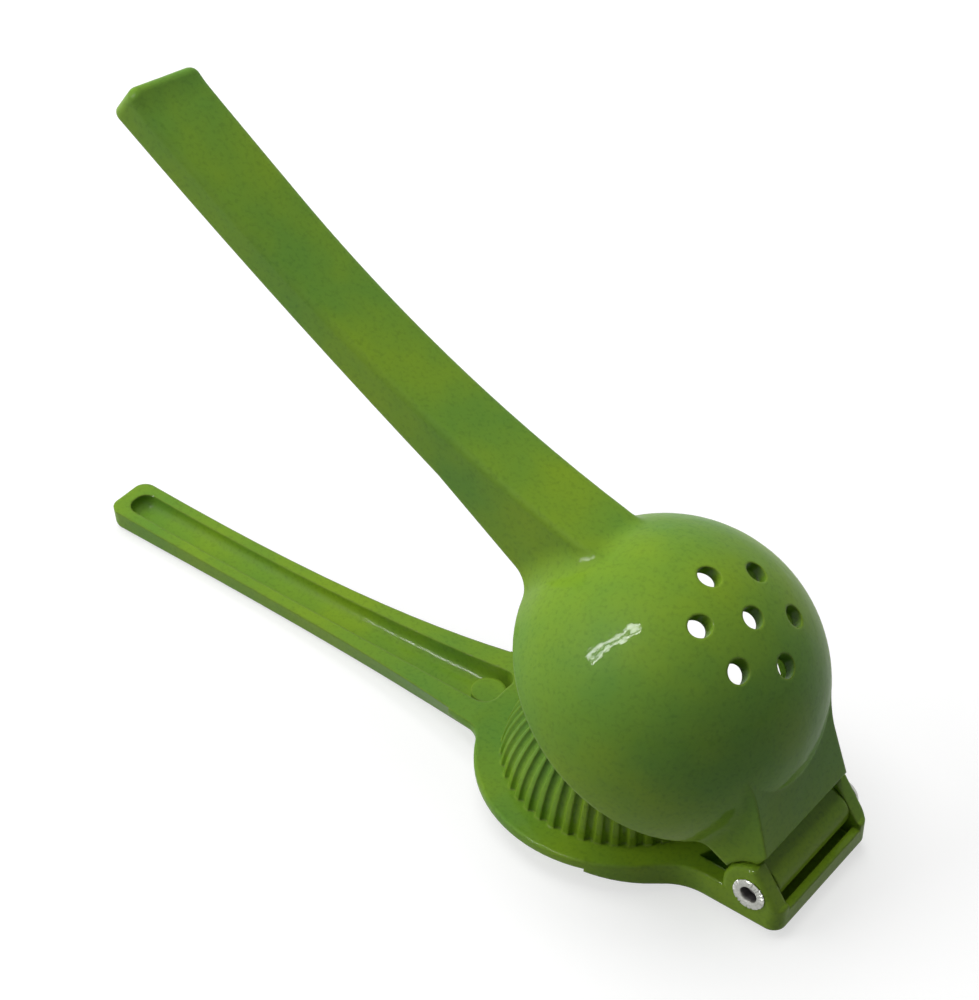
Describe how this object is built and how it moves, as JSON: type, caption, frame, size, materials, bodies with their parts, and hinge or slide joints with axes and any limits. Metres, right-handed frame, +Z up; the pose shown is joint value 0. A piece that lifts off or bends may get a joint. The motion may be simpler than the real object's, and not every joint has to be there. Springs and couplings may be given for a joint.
{
  "type": "hinged lemon squeezer",
  "caption": "Hinged hand squeezer: a perforated bowl arm swings on a rivet over a fluted dome on the lower arm and presses a halved lemon between them.",
  "frame": {"origin": "centre of the underside of the plunger arm's round skirt, on the table it stands on", "axes": "+Z up from the table, +X from the handle tips towards the hinge, +Y along the rivet"},
  "size_m": [0.2005, 0.07, 0.1331],
  "materials": {
    "green_enamel": "satin",
    "rivet_steel": "satin"
  },
  "bodies": {
    "plunger_arm": {"plunger_arm": "green_enamel", "hinge_pin": "rivet_steel"},
    "bowl_arm": {"bowl_arm": "green_enamel"}
  },
  "joints": [
    {"name": "hinge", "type": "hinge", "parent": "plunger_arm", "child": "bowl_arm", "pos_m": [0.0445, 0, 0.0096], "axis": [0, 1, 0], "range_deg": [-34.4, 85.6]}
  ]
}
